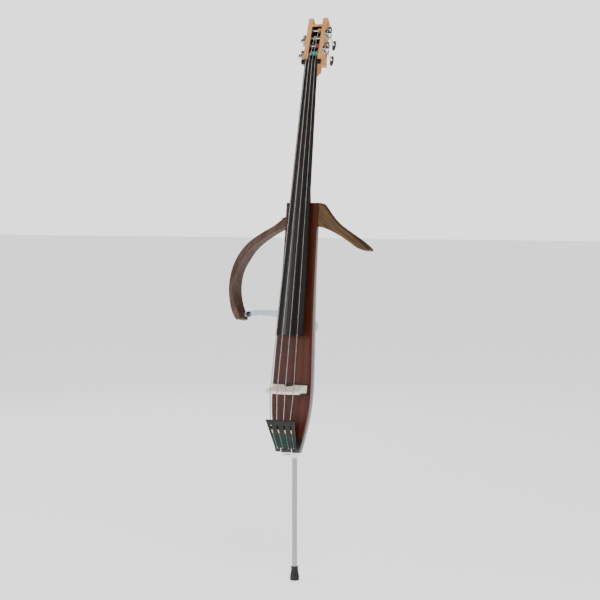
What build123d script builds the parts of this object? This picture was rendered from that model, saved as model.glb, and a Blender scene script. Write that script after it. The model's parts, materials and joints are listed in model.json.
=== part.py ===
"""Frame-type electric upright bass on its endpin: hollow body, maple neck, ebony fingerboard, worm-gear
machine heads, detachable arms and a clear rest bar. Millimetres, +Z up along the endpin, -Y to the front.
The origin is the middle of the endpin tip's foot."""

import math
import os

from build123d import *

os.makedirs("parts", exist_ok=True)

# ---- fits and clearances ----
TOUCH_GAP = 0.3          # between bodies that may move apart
RUNNING_FIT = 0.06       # radial, shaft in bore
POCKET_GAP = 0.5         # a tongue or plate in its pocket

# ---- body ----
BODY_LEAN = 8.1          # degrees back from the endpin
BODY_FOOT_Y, BODY_FOOT_Z = -54.5, 406.0
BODY_LENGTH = 766.0
# distance up the body, half width and depth of the half-oval there
BODY_STATIONS = [(0, 39, 68), (55, 52, 77), (110, 60.5, 88), (180, 64.5, 96), (250, 63, 97), (320, 60.5, 95),
                 (390, 58, 91), (460, 56, 86), (530, 54.8, 80.5), (600, 53.8, 76.5), (680, 53.2, 73.5),
                 (BODY_LENGTH, 53, 72)]
BODY_WALL = 7.0
FRONT_THICKNESS = 8.0
FRONT_ROUND = 5.0
FOOT_BLOCK = 70.0        # solid wood above the end cap, for the endpin
HEAD_BLOCK = 100.0       # solid wood under the neck, for heel and arms
CAP_HEIGHT, CAP_DEPTH, CAP_FLOOR = 44.0, 16.0, 10.0

# ---- endpin ----
PIN_RADIUS = 8.0
TIP_HEIGHT, TIP_FOOT_RADIUS, TIP_NECK_RADIUS = 44.0, 14.5, 11.0
TIP_SOCKET = 30.0
COLLAR_FOOT_Z = 381.0
COLLAR_RADIUS = 13.5
SLEEVE_RADIUS = 11.0
SLEEVE_TOP_Z = 470.0
PIN_INSIDE = 136.0       # length of tube above the collar's foot
SCREW_RADIUS = 2.5
SCREW_Z = 389.0
WING_REACH, WING_WIDTH, WING_HEIGHT, WING_THICKNESS = 45.0, 18.0, 15.0, 3.0

# ---- fingerboard and neck ----
BOARD_LEAN = 10.8
BOARD_TOP_Y, BOARD_TOP_Z = 119.0, 1592.0      # middle of the nut end, on the board's edge line
BOARD_LENGTH = 846.0
BOARD_TOP_HALF, BOARD_END_HALF = 21.5, 45.5
BOARD_RADIUS = 90.0
BOARD_EDGE = 7.0
NECK_TOP_DEPTH, NECK_LOW_DEPTH = 17.0, 23.0
NECK_LOW_AT = 320.0      # where the heel starts, down from the nut
HEEL_DEPTH, HEEL_HALF = 62.0, 23.0
CHIN_DEPTH, CHIN_DROP = 40.0, 36.0
HEEL_FOOT_AT = 530.0     # end of the neck wood between board and body
TENON_HALF, TENON_DEPTH, TENON_LENGTH = 18.0, 45.0, 60.0

# ---- nut ----
NUT_HALF, NUT_HEIGHT, NUT_DEPTH = 31.5, 17.0, 14.0

# ---- pegbox ----
BOX_LEAN = 20.1
BOX_Y, BOX_Z = 130.0, 1608.0                   # middle of its front face at the nut's top
BOX_HALF = 32.3
CHEEK = 16.0
BOX_TOP = 139.5
BOX_FOOT_DEPTH, BOX_TOP_DEPTH, BOX_HORN = 42.0, 20.0, 13.0
BOX_BACK_WALL = 4.0
SLOT_FROM, SLOT_TO, BAR_TO = 2.0, 110.0, 119.0

# ---- machine heads ----
POST_FIRST, POST_PITCH = 24.0, 26.0
POST_DEPTH = 11.5
POST_RADIUS, POST_END_RADIUS = 5.0, 4.0
POST_END_DEPTH = 8.0
WINDING_RADIUS = 6.6
KEY_SLANT = 17.0         # degrees the key shaft drops from square to the pegbox
PLATE_THICKNESS = 2.0
PLATE_WIDTH, PLATE_HIGH, PLATE_LOW = 20.0, 8.0, 12.0      # above the post and below the worm
PLATE_FRONT, PLATE_BACK = 13.0, 21.0                      # either side, at the worm
GEAR_TEETH, GEAR_RADIUS, GEAR_ROOT, GEAR_THICKNESS = 20, 11.4, 9.8, 6.0
WORM_RADIUS, WORM_HALF = 5.4, 8.0
WORM_OFFSET = 17.4
SHAFT_RADIUS = 2.4
EAR_THICKNESS, EAR_WIDTH = 4.0, 11.0
KEY_CENTRE = 53.0
LEAF_HALF_WIDE, LEAF_HALF_LONG, LEAF_THICKNESS = 19.0, 11.0, 2.4
SHAFT_END = KEY_CENTRE - LEAF_HALF_LONG
HUB_RADIUS, HUB_LENGTH = 4.0, 12.0
PLATE_SCREW_RADIUS = 1.6

# ---- strings ----
STRING_NAMES = ["e", "a", "d", "g"]
STRING_RADII = [1.4, 1.15, 0.95, 0.8]
NUT_X = [-15.8, -5.3, 5.3, 15.8]
NUT_STRING_Y, NUT_STRING_Z = 116.5, 1601.0
CROWN_X = [-38.6, -13.4, 13.4, 38.6]
CROWN_RADIUS = 140.0
CROWN_AT, CROWN_HEIGHT = 177.0, 68.5           # string line over the bridge, along and off the body
WINDING_X = [-11.0, -5.0, 5.0, 11.0]           # where each string leaves its winding
WINDING_SPANS = [(-14.0, 11.0), (-8.5, -1.5), (1.0, 12.5), (1.5, 14.5)]
POST_OF_STRING = [0, 2, 3, 1]                  # counted up the pegbox
BEND_RADIUS = 5.0

# ---- bridge ----
BASE_FROM, BASE_TO, BASE_HALF, BASE_THICKNESS = 175.0, 209.0, 58.0, 4.0
BRIDGE_TAIL_EDGE = 183.0
FOOT_THICKNESS, CROWN_THICKNESS = 22.0, 7.0
FOOT_OUTER, FOOT_INNER = 56.5, 19.0
CROWN_HALF = 57.0
PICKUP_THICKNESS = 2.0
KIDNEY_X, KIDNEY_UP = 35.0, 31.0

# ---- tailpiece ----
TAIL_LOW_AT, TAIL_LOW_HEIGHT = 12.0, 13.0
TAIL_ANGLE = 33.5        # degrees it stands off the body
TAIL_LENGTH, TAIL_THICKNESS = 98.0, 5.0
TAIL_TOP_HALF, TAIL_LOW_HALF = 47.0, 36.0
GROOVE_WIDTH, GROOVE_DEPTH = 4.6, 2.4
BALL_FROM, BALL_LENGTH = 55.0, 12.0
KEYHOLE_AT, KEYHOLE_RADIUS = 79.0, 3.2
TAIL_TOP_X = [-33.0, -11.3, 11.3, 33.0]
TAIL_LOW_X = [-27.5, -9.2, 9.2, 27.5]
WIRE_RADIUS, WIRE_X = 1.2, 18.0

# ---- arms ----
ARM_FRONT = 7.0          # arm face behind the body's face
ARM_DEPTH = 34.0
TONGUE_REACH, TONGUE_HEIGHT, TONGUE_DEPTH = 22.0, 26.0, 14.0
TONGUE_AT, TONGUE_FROM = 708.0, 16.0
ARM_BOLT_X, ARM_BOLT_RADIUS, ARM_KNOB_RADIUS, ARM_KNOB_LENGTH = 40.0, 3.0, 10.0, 13.0
# outlines seen from the front: distance right of the middle, distance up the body
LEFT_OUTER = [(-40, 732), (-53.5, 725), (-72, 712), (-92, 697), (-115, 684), (-138, 671), (-164, 654),
              (-187, 635), (-204, 615), (-220, 588), (-231, 560), (-237.5, 525), (-238.5, 492), (-233, 457),
              (-225, 430), (-207, 399.5)]
LEFT_INNER = [(-40, 698), (-61, 690), (-90, 676.5), (-136, 649), (-162, 630), (-198.5, 588.5), (-215, 558),
              (-222.5, 525), (-223, 490), (-214, 453), (-204, 431), (-197, 418), (-192.5, 403)]
# its side view: distance up the body, distance out of the body's face
LEFT_SIDE = [(790, -7), (790, -41), (705, -41), (650, -50), (590, -66), (480, -70), (390, -64), (390, -7)]
RIGHT_UPPER = [(63, BODY_LENGTH), (77, 749), (95, 727), (113, 709), (147, 685), (181.5, 663.5), (213, 642), (230, 627)]
RIGHT_LOWER = [(40, 697), (64, 692), (98, 680.5), (132, 664), (166, 643.5), (189, 629), (214, 621.5), (230, 623)]
RIGHT_BEVEL = 3.0

# ---- rest bar: a clear strip, seen from above and from the front ----
REST_X, REST_Y, REST_Z = -189.4, 45.0, 815.0      # face of the bar at the arm, and its tilting axis
REST_SCREW_RADIUS, REST_SCREW_DEPTH = 3.0, 15.0
BOSS_RADIUS = 8.5
KNOB_RADIUS, KNOB_THICKNESS, KNOB_GROOVES = 8.5, 8.0, 14
BAR_THICKNESS = 6.0
BAR_HALF, PADDLE_HALF = 8.0, 21.0
PADDLE_X, PADDLE_Z = -6.0, 775.0
BAR_BACK_Y = 143.0       # back face of the run behind the body
BAR_BEND = 55.0

# ---- controls, in the back of the body ----
PANEL_AT, PANEL_HEIGHT, PANEL_WIDTH, PANEL_THICKNESS = 330.0, 130.0, 46.0, 2.5
PANEL_DEPTH = 84.0       # its outer face behind the body's face
PANEL_LEDGE, PANEL_LEDGE_THICKNESS = 4.0, 9.0
DIAL_X, DIAL_AT = 11.0, 379.0
DIAL_RADIUS, DIAL_HEIGHT, DIAL_SHAFT = 7.0, 8.0, 3.0
POT_RADIUS, POT_HEIGHT = 8.0, 12.0
BOARD_HALF_SIDE, BOARD_THICKNESS = 17.0, 1.6
JACK_AT, JACK_RADIUS, JACK_BORE, JACK_LENGTH, JACK_FLANGE = 342.0, 4.9, 3.2, 32.0, 7.0
DOOR_FOOT, DOOR_HEIGHT, DOOR_WIDTH = 272.0, 54.0, 32.0
BATTERY_WIDTH, BATTERY_HEIGHT, BATTERY_DEPTH = 26.5, 48.5, 17.5
TRAY_WALL = 1.5


def leaning(y, z, lean):
    """Face of a piece that leans back: local x to the right, y up the piece, z out of its front."""
    tilt = math.radians(lean)
    return Plane(origin=(0, y, z), x_dir=(1, 0, 0), z_dir=(0, -math.cos(tilt), math.sin(tilt)))


def across(face, along):
    """Cross-section of a piece at a distance up it: local x to the right, y to the back."""
    return Plane(origin=face.from_local_coords((0, along, 0)), x_dir=face.x_dir, z_dir=face.y_dir)


def beside(face, x=0.0):
    """Side view of a piece: local x up the piece, y out of its front, z to the right."""
    return Plane(origin=face.from_local_coords((x, 0, 0)), x_dir=face.y_dir, z_dir=face.x_dir)


def save(piece, label):
    piece.label = label
    export_step(piece, f"parts/{label}.step")


BODY = leaning(BODY_FOOT_Y, BODY_FOOT_Z, BODY_LEAN)
BOARD = leaning(BOARD_TOP_Y, BOARD_TOP_Z, BOARD_LEAN)
BOX = leaning(BOX_Y, BOX_Z, BOX_LEAN)
WIDE = 400.0             # reaches past every side of the body


def body_oval(shrink=0.0):
    """Solid of the body's outside, or of a surface that lies inside (or outside) it by shrink."""
    with BuildPart() as oval:
        for along, half, depth in BODY_STATIONS:
            with BuildSketch(across(BODY, along)):
                with BuildLine():
                    EllipticalCenterArc((0, 0), half - shrink, depth - shrink, arc_size=180)
                    Line((shrink - half, 0), (half - shrink, 0))
                make_face()
        loft()
    return oval.part


def side_slab(points, face=BODY, half=WIDE):
    """Solid with a side view given by its corners, as wide as asked."""
    with BuildPart() as slab:
        with BuildSketch(beside(face)):
            with BuildLine():
                Polyline(*points, close=True)
            make_face()
        extrude(amount=half, both=True)
    return slab.part


def box_in(face, low, high):
    """Block between two corners given in a face's own directions."""
    with BuildPart() as block:
        with BuildSketch(face.offset(low[2])):
            with BuildLine():
                Polyline((low[0], low[1]), (high[0], low[1]), (high[0], high[1]), (low[0], high[1]), close=True)
            make_face()
        extrude(amount=high[2] - low[2])
    return block.part


OUTSIDE = body_oval()
TENON = box_in(BODY, (-TENON_HALF, BODY_LENGTH - TENON_LENGTH, -TENON_DEPTH), (TENON_HALF, BODY_LENGTH, 0))
CAP_SIDE = side_slab([(-1, 1), (CAP_HEIGHT, 1), (CAP_HEIGHT, -CAP_DEPTH), (CAP_FLOOR, -CAP_DEPTH),
                      (CAP_FLOOR, -WIDE), (-1, -WIDE)])

# ---- end cap: black, wraps the front and the underside of the body's foot ----
with BuildPart() as end_cap:
    add(OUTSIDE)
    add(CAP_SIDE, mode=Mode.INTERSECT)
    with BuildSketch(Plane.XY.offset(COLLAR_FOOT_Z)):
        Circle(SLEEVE_RADIUS)
    extrude(amount=60, mode=Mode.SUBTRACT)
save(end_cap.part, "end_cap")

# ---- front: one mahogany plate over the whole chamber ----
with BuildPart() as body_front:
    add(OUTSIDE)
    add(side_slab([(CAP_HEIGHT, 1), (BODY_LENGTH + 1, 1), (BODY_LENGTH + 1, -FRONT_THICKNESS),
                   (CAP_HEIGHT, -FRONT_THICKNESS)]), mode=Mode.INTERSECT)
    face = body_front.faces().sort_by(Axis(BODY.origin, BODY.z_dir))[-1]
    rim = face.edges().filter_by(lambda e: abs(BODY.to_local_coords(e.center()).Y - CAP_HEIGHT) > 1)
    fillet(rim, FRONT_ROUND)
    add(TENON, mode=Mode.SUBTRACT)
save(body_front.part, "body_front")

# ---- shell: hollow back, solid at foot and head, with pockets for arms, heel and control panel ----
CAVITY = body_oval(BODY_WALL)
CAVITY_SIDE = side_slab([(FOOT_BLOCK, 5), (BODY_LENGTH - HEAD_BLOCK, 5),
                         (BODY_LENGTH - HEAD_BLOCK, -WIDE), (FOOT_BLOCK, -WIDE)])
LEDGE = box_in(BODY, (-PANEL_WIDTH / 2 - 6, PANEL_AT - PANEL_HEIGHT / 2 - 6, -WIDE),
               (PANEL_WIDTH / 2 + 6, PANEL_AT + PANEL_HEIGHT / 2 + 6,
                PANEL_THICKNESS + PANEL_LEDGE_THICKNESS - PANEL_DEPTH))
with BuildPart() as body_shell:
    add(OUTSIDE)
    add(CAP_SIDE, mode=Mode.SUBTRACT)
    add(side_slab([(-1, 1), (BODY_LENGTH + 1, 1), (BODY_LENGTH + 1, -FRONT_THICKNESS),
                   (-1, -FRONT_THICKNESS)]), mode=Mode.SUBTRACT)
    add((CAVITY & CAVITY_SIDE) - LEDGE, mode=Mode.SUBTRACT)
    # bore for the endpin's sleeve, and the tube's way up into the chamber
    with BuildSketch(Plane.XY.offset(COLLAR_FOOT_Z)):
        Circle(SLEEVE_RADIUS)
    extrude(amount=SLEEVE_TOP_Z - COLLAR_FOOT_Z, mode=Mode.SUBTRACT)
    with BuildSketch(Plane.XY.offset(SLEEVE_TOP_Z - 1)):
        Circle(PIN_RADIUS + 1)
    extrude(amount=60, mode=Mode.SUBTRACT)
    # pockets for the arms' tongues, one in from each side, and for the neck's tenon
    for side in (-1, 1):
        with BuildSketch(beside(BODY, side * (BODY_STATIONS[-1][1] - TONGUE_REACH))):
            with Locations((TONGUE_AT, -TONGUE_FROM - TONGUE_DEPTH / 2)):
                Rectangle(TONGUE_HEIGHT + 2 * POCKET_GAP, TONGUE_DEPTH + 2 * POCKET_GAP)
        extrude(amount=side * WIDE, mode=Mode.SUBTRACT)
    add(TENON, mode=Mode.SUBTRACT)
    # bores for the arms' thumb bolts, in from the back
    with BuildSketch(BODY.offset(-TONGUE_FROM - TONGUE_DEPTH)):
        with Locations((-ARM_BOLT_X, TONGUE_AT), (ARM_BOLT_X, TONGUE_AT)):
            Circle(ARM_BOLT_RADIUS + RUNNING_FIT)
    extrude(amount=-WIDE, mode=Mode.SUBTRACT)
    # opening for the control panel, with its ledge
    with BuildSketch(BODY.offset(PANEL_THICKNESS - PANEL_DEPTH)):
        with Locations((0, PANEL_AT)):
            Rectangle(PANEL_WIDTH + 2 * POCKET_GAP, PANEL_HEIGHT + 2 * POCKET_GAP)
    extrude(amount=-WIDE, mode=Mode.SUBTRACT)
    with BuildSketch(BODY.offset(PANEL_THICKNESS + PANEL_LEDGE_THICKNESS - PANEL_DEPTH)):
        with Locations((0, PANEL_AT)):
            Rectangle(PANEL_WIDTH - 2 * PANEL_LEDGE, PANEL_HEIGHT - 2 * PANEL_LEDGE)
    extrude(amount=-WIDE, mode=Mode.SUBTRACT)
save(body_shell.part, "body_shell")

# ---- endpin: collar with its sleeve, tube, rubber tip and clamp screw ----
with BuildPart() as endpin_collar:
    with BuildSketch(Plane.XZ):
        with BuildLine():
            Polyline((0, COLLAR_FOOT_Z), (PIN_RADIUS + 2, COLLAR_FOOT_Z), (COLLAR_RADIUS, COLLAR_FOOT_Z + 6),
                     (COLLAR_RADIUS, COLLAR_FOOT_Z + 30), (0, COLLAR_FOOT_Z + 30), close=True)
        make_face()
    revolve(axis=Axis.Z)
    # the flange ends flush against the cap's underside, and the sleeve goes on up
    add(side_slab([(0, WIDE), (0, -WIDE), (WIDE, -WIDE), (WIDE, WIDE)]), mode=Mode.SUBTRACT)
    with BuildSketch(Plane.XY.offset(COLLAR_FOOT_Z + 2)):
        Circle(SLEEVE_RADIUS)
    extrude(amount=SLEEVE_TOP_Z - COLLAR_FOOT_Z - 2)
    with BuildSketch(Plane.XY.offset(COLLAR_FOOT_Z)):
        Circle(PIN_RADIUS + RUNNING_FIT)
    extrude(amount=SLEEVE_TOP_Z - COLLAR_FOOT_Z, mode=Mode.SUBTRACT)
    with BuildSketch(Plane.YZ.offset(-PIN_RADIUS)):
        with Locations((0, SCREW_Z)):
            Circle(SCREW_RADIUS + RUNNING_FIT)
    extrude(amount=-WIDE, mode=Mode.SUBTRACT)
save(endpin_collar.part, "endpin_collar")

with BuildPart() as endpin_tube:
    with BuildSketch(Plane.XY.offset(TIP_HEIGHT - TIP_SOCKET)):
        Circle(PIN_RADIUS)
        Circle(PIN_RADIUS - 1.5, mode=Mode.SUBTRACT)
    extrude(amount=COLLAR_FOOT_Z + PIN_INSIDE - TIP_HEIGHT + TIP_SOCKET)
save(endpin_tube.part, "endpin_tube")

with BuildPart() as endpin_tip:
    with BuildSketch(Plane.XZ):
        with BuildLine():
            foot = Polyline((0, TIP_HEIGHT - TIP_SOCKET), (0, 0), (TIP_FOOT_RADIUS - 2, 0))
            heel = Line((TIP_FOOT_RADIUS - 2, 0), (TIP_FOOT_RADIUS, 3))
            side = Spline((TIP_FOOT_RADIUS, 3), (TIP_FOOT_RADIUS - 1, 16),
                          (TIP_NECK_RADIUS, TIP_HEIGHT - 8), tangents=((0, 1), (0, 1)))
            Polyline((TIP_NECK_RADIUS, TIP_HEIGHT - 8), (TIP_NECK_RADIUS, TIP_HEIGHT),
                     (PIN_RADIUS, TIP_HEIGHT), (PIN_RADIUS, TIP_HEIGHT - TIP_SOCKET),
                     (0, TIP_HEIGHT - TIP_SOCKET))
        make_face()
    revolve(axis=Axis.Z)
save(endpin_tip.part, "endpin_tip")

SCREW_TIP_X = -PIN_RADIUS - TOUCH_GAP
with BuildPart() as endpin_screw:
    with BuildSketch(Plane.YZ.offset(SCREW_TIP_X)):
        with Locations((0, SCREW_Z)):
            Circle(SCREW_RADIUS)
    extrude(amount=-(WING_REACH - WING_WIDTH / 2 + SCREW_TIP_X))
    with BuildSketch(Plane.XZ.offset(-WING_THICKNESS / 2)):
        with Locations((WING_WIDTH / 2 - WING_REACH, SCREW_Z)):
            Ellipse(WING_WIDTH / 2, WING_HEIGHT / 2)
    extrude(amount=WING_THICKNESS)
save(endpin_screw.part, "endpin_screw")

# ---- fingerboard: ebony, arched, flat below ----
with BuildPart() as fingerboard:
    for along, half in [(0, BOARD_TOP_HALF), (-BOARD_LENGTH, BOARD_END_HALF)]:
        rise = BOARD_RADIUS - math.sqrt(BOARD_RADIUS**2 - half**2)
        with BuildSketch(across(BOARD, along)):
            with BuildLine():
                ThreePointArc((-half, 0), (0, -rise), (half, 0))
                Polyline((half, 0), (half - 1.5, BOARD_EDGE), (1.5 - half, BOARD_EDGE), (-half, 0))
            make_face()
    loft()
save(fingerboard.part, "fingerboard")

# ---- neck: maple, half-oval behind the board, deepening to the heel, with chin and tenon ----
HEEL_FULL_AT = (BOARD_TOP_Z - BODY.from_local_coords((0, BODY_LENGTH, 0)).Z) / math.cos(math.radians(BOARD_LEAN))
NECK_STATIONS = [(0, 20, NECK_TOP_DEPTH), (80, 20.5, NECK_TOP_DEPTH + 1), (160, 21.5, NECK_TOP_DEPTH + 2),
                 (240, 22.5, NECK_LOW_DEPTH - 2), (NECK_LOW_AT, 23.5, NECK_LOW_DEPTH), (370, 23.5, 36),
                 (HEEL_FULL_AT, HEEL_HALF, HEEL_DEPTH)]
with BuildPart() as neck:
    for down, half, depth in NECK_STATIONS:
        with BuildSketch(across(BOARD, -down)):
            with BuildLine():
                EllipticalCenterArc((0, BOARD_EDGE), half, depth, arc_size=180)
                Line((-half, BOARD_EDGE), (half, BOARD_EDGE))
            make_face()
    loft()
    with BuildSketch(across(BOARD, -HEEL_FULL_AT)):
        with BuildLine():
            EllipticalCenterArc((0, BOARD_EDGE), HEEL_HALF, HEEL_DEPTH, arc_size=180)
            Line((-HEEL_HALF, BOARD_EDGE), (HEEL_HALF, BOARD_EDGE))
        make_face()
    extrude(amount=HEEL_FULL_AT - HEEL_FOOT_AT)
    # chin: the wood that backs the nut and the pegbox's foot
    add(side_slab([(0, -BOARD_EDGE), (0, -CHIN_DEPTH), (-CHIN_DROP / 2, -CHIN_DEPTH),
                   (-CHIN_DROP, -BOARD_EDGE - NECK_TOP_DEPTH / 2), (-CHIN_DROP, -BOARD_EDGE)],
                  BOARD, BOARD_TOP_HALF - 1.5))
    add(side_slab([(-WIDE, 0), (BODY_LENGTH, 0), (BODY_LENGTH, -WIDE), (-WIDE, -WIDE)]), mode=Mode.SUBTRACT)
    add(TENON)
save(neck.part, "neck")

# ---- strings ----
WORM_Z = PLATE_THICKNESS + WORM_RADIUS + TOUCH_GAP
GEAR_FROM, GEAR_TO = WORM_Z - GEAR_THICKNESS / 2, WORM_Z + GEAR_THICKNESS / 2
POSTS = [POST_FIRST + POST_PITCH * k for k in range(4)]
TAIL = Plane(origin=BODY.from_local_coords((0, TAIL_LOW_AT, TAIL_LOW_HEIGHT)), x_dir=(1, 0, 0),
             z_dir=Vector(0, -1, 0).rotate(Axis.X, TAIL_ANGLE - BODY_LEAN))


def string_tube(number, grow=0.0):
    """One string from its post's winding over nut and bridge, round the tailpiece's foot to its ball."""
    radius = STRING_RADII[number]
    off = radius + 0.1
    behind = -TAIL_THICKNESS - off - 0.3
    in_groove = off - GROOVE_DEPTH
    crown_drop = CROWN_RADIUS - math.sqrt(CROWN_RADIUS**2 - CROWN_X[number]**2)
    points = [
        BOX.from_local_coords((WINDING_X[number], POSTS[POST_OF_STRING[number]], WINDING_RADIUS + off - POST_DEPTH)),
        Vector(NUT_X[number], NUT_STRING_Y, NUT_STRING_Z),
        BODY.from_local_coords((CROWN_X[number], CROWN_AT, CROWN_HEIGHT - crown_drop)),
        TAIL.from_local_coords((TAIL_TOP_X[number], TAIL_LENGTH + off, behind)),
        TAIL.from_local_coords((TAIL_LOW_X[number], -off - 1, behind)),
        TAIL.from_local_coords((TAIL_LOW_X[number], -off - 1, in_groove)),
        TAIL.from_local_coords((TAIL_TOP_X[number] * 0.97, BALL_FROM + BALL_LENGTH, in_groove)),
    ]
    turn = (in_groove - behind) / 2 - 0.05
    with BuildPart() as tube:
        with BuildLine() as path:
            FilletPolyline(*points, radius=[BEND_RADIUS, BEND_RADIUS, BEND_RADIUS, turn, turn])
        with BuildSketch(Plane(origin=path.line @ 0, z_dir=path.line % 0)):
            Circle(radius + grow)
        sweep()
        if not grow:
            start = path.line @ 1 - (path.line % 1) * BALL_LENGTH
            with BuildSketch(Plane(origin=start, z_dir=path.line % 1)):
                Circle(GROOVE_WIDTH / 2 - 0.2)
            extrude(amount=BALL_LENGTH)
    return tube.part


for number, name in enumerate(STRING_NAMES):
    string = string_tube(number)
    save(string, f"string_{name}")
STRING_CUTS = [string_tube(number, 0.05) for number in range(4)]

# ---- nut: ebony, over the neck's end and across the pegbox ----
with BuildPart() as nut:
    add(side_slab([(0, 3.7), (8, 4.0), (14, 1.5), (NUT_HEIGHT, -3), (NUT_HEIGHT, -NUT_DEPTH), (0, -NUT_DEPTH)],
                  BOARD, NUT_HALF))
    add(side_slab([(-WIDE, 0), (WIDE, 0), (WIDE, -WIDE), (-WIDE, -WIDE)], BOX), mode=Mode.SUBTRACT)
    for cut in STRING_CUTS:
        add(cut, mode=Mode.SUBTRACT)
save(nut.part, "nut")

# ---- machine heads: four, by turns on the left and the right cheek ----
def slant(side, along):
    """Face of one machine: origin on the cheek at the post, x along the key shaft, z outward."""
    drop = math.radians(KEY_SLANT)
    key_way = BOX.z_dir * -math.cos(drop) + BOX.y_dir * -math.sin(drop)
    return Plane(origin=BOX.from_local_coords((side * BOX_HALF, along, -POST_DEPTH)), x_dir=key_way,
                 z_dir=(side, 0, 0))


MACHINES = [(-1 if number % 2 == 0 else 1, along) for number, along in enumerate(POSTS)]
with BuildPart() as machine_screws:
    for side, along in MACHINES:
        machine = slant(side, along)
        places = [(PLATE_BACK - 4, -side * WORM_OFFSET), (0, -side * (WORM_OFFSET + PLATE_LOW - 3.5))]
        with BuildSketch(machine.offset(PLATE_THICKNESS)):
            with Locations(*places):
                Circle(PLATE_SCREW_RADIUS)
        extrude(amount=-PLATE_THICKNESS - 10)
        with BuildSketch(machine.offset(PLATE_THICKNESS)):
            with Locations(*places):
                Circle(PLATE_SCREW_RADIUS + 1.2)
        extrude(amount=1.4)
save(machine_screws.part, "machine_screws")

# ---- pegbox: maple, two cheeks, back wall and crossbar ----
def box_back(along):
    """Depth of the pegbox's back edge at a height up its face."""
    slope = (BOX_FOOT_DEPTH - BOX_TOP_DEPTH) / (BOX_TOP - BOX_HORN)
    return BOX_FOOT_DEPTH - slope * along


with BuildPart() as pegbox:
    add(side_slab([(-60, 0), (BOX_TOP, 0), (BOX_TOP - BOX_HORN, -BOX_TOP_DEPTH), (-60, -box_back(-60))],
                  BOX, BOX_HALF))
    add(side_slab([(0, WIDE), (0, -WIDE), (-WIDE, -WIDE), (-WIDE, WIDE)], BOARD), mode=Mode.SUBTRACT)
    add(side_slab([(SLOT_FROM, 1), (SLOT_TO, 1), (SLOT_TO, BOX_BACK_WALL - box_back(SLOT_TO)),
                   (SLOT_FROM, BOX_BACK_WALL - box_back(SLOT_FROM))], BOX, BOX_HALF - CHEEK), mode=Mode.SUBTRACT)
    add(side_slab([(BAR_TO, 1), (BOX_TOP + 1, 1), (BOX_TOP + 1, -WIDE), (BAR_TO, -WIDE)],
                  BOX, BOX_HALF - CHEEK), mode=Mode.SUBTRACT)
    add(machine_screws.part, mode=Mode.SUBTRACT)
    for side, along in MACHINES:
        with BuildSketch(beside(BOX, side * BOX_HALF)):
            with Locations((along, -POST_DEPTH)):
                Circle(POST_END_RADIUS + RUNNING_FIT)
        extrude(amount=-side * (2 * BOX_HALF - CHEEK + POST_END_DEPTH), mode=Mode.SUBTRACT)
save(pegbox.part, "pegbox")

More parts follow.
